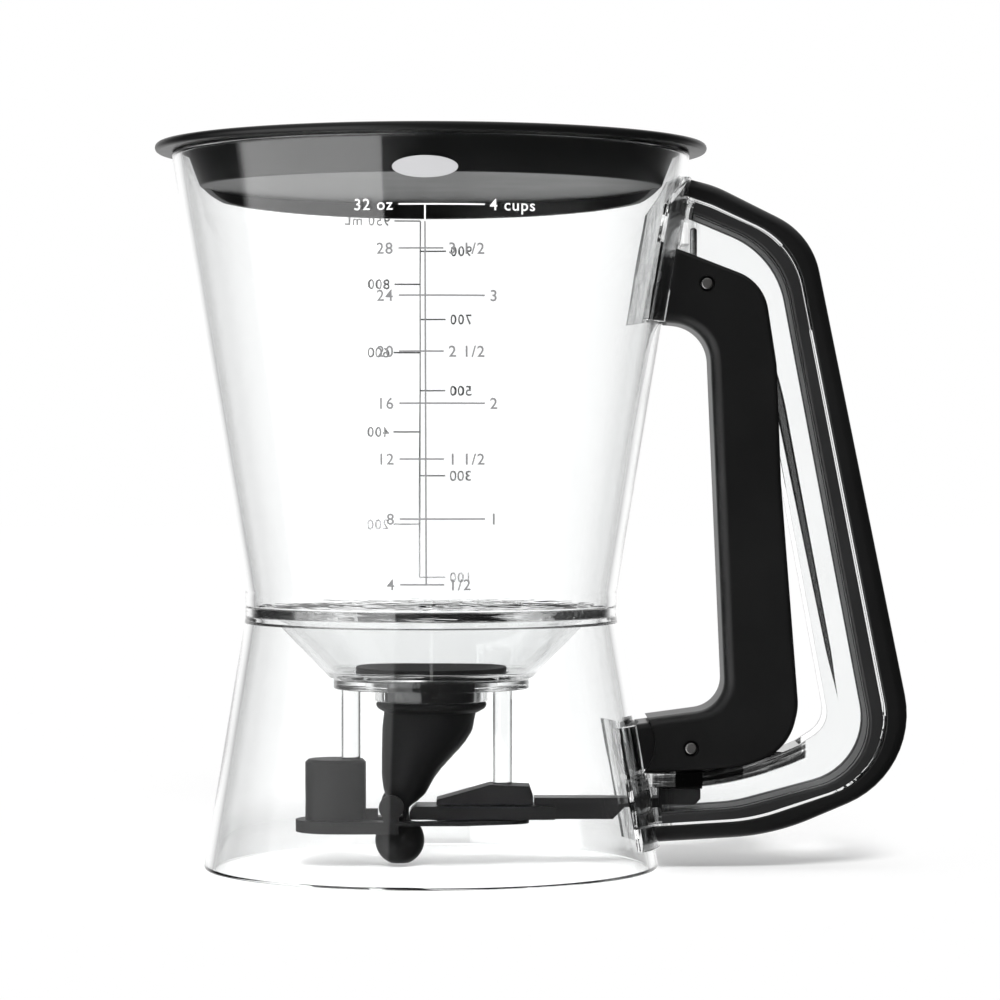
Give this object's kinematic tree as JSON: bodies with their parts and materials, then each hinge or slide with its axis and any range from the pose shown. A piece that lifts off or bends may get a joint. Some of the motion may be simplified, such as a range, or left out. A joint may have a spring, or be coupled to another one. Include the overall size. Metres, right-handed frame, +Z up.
{
  "type": "batter dispenser",
  "caption": "Hand-held batter dispenser with a clear hopper, a black lift-off lid, a squeeze trigger in a C-shaped handle and a pinched silicone valve",
  "frame": {"origin": "Middle of the foot's ring, where the jar's axis meets the table", "axes": "+X towards the handle, +Z up along the jar's axis, -Y towards the scale in ounces and cups"},
  "size_m": [0.1941, 0.143, 0.1874],
  "materials": {
    "satin_black": "moulded black plastic with a satin face",
    "clear_plastic": "clear moulded plastic with polished faces",
    "silicone": "matt black silicone",
    "soft_black": "soft-touch black rubber",
    "pin_steel": "plain steel wire and rod",
    "scale_ink": "grey ink printed on the clear plastic"
  },
  "bodies": {
    "jar": {"hopper": "clear_plastic", "base_skirt": "clear_plastic", "bowl": "clear_plastic", "valve": "silicone", "carrier_plate": "satin_black", "handle_frame": "clear_plastic", "handle_grip": "soft_black", "grip_liner": "soft_black", "pivot_pin": "pin_steel", "return_spring": "pin_steel"},
    "trigger": {"trigger_core": "satin_black", "trigger_grip": "soft_black", "drive_pin": "pin_steel"},
    "slider": {"pull_bar": "satin_black"},
    "cover": {"lid": "satin_black"}
  },
  "joints": [
    {"name": "trigger_squeeze", "type": "hinge", "parent": "jar", "child": "trigger", "pos_m": [0.0711, 0, 0.151], "axis": [0, -1, 0], "range_deg": [0, 4.8], "stiffness_Nm_per_rad": 1, "springref_deg": -5.73, "deforming": ["return_spring"]},
    {"name": "pull_bar_slide", "type": "slide", "parent": "jar", "child": "slider", "axis": [1, 0, 0], "range_m": [0, 0.01005], "deforming": ["valve"]},
    {"name": "lid_lift", "type": "slide", "parent": "jar", "child": "cover", "axis": [0, 0, 1], "range_m": [0, 0.02]}
  ],
  "couplings": [
    {"joint": "pull_bar_slide", "follows": "trigger_squeeze", "m_per_rad": 0.1195}
  ]
}
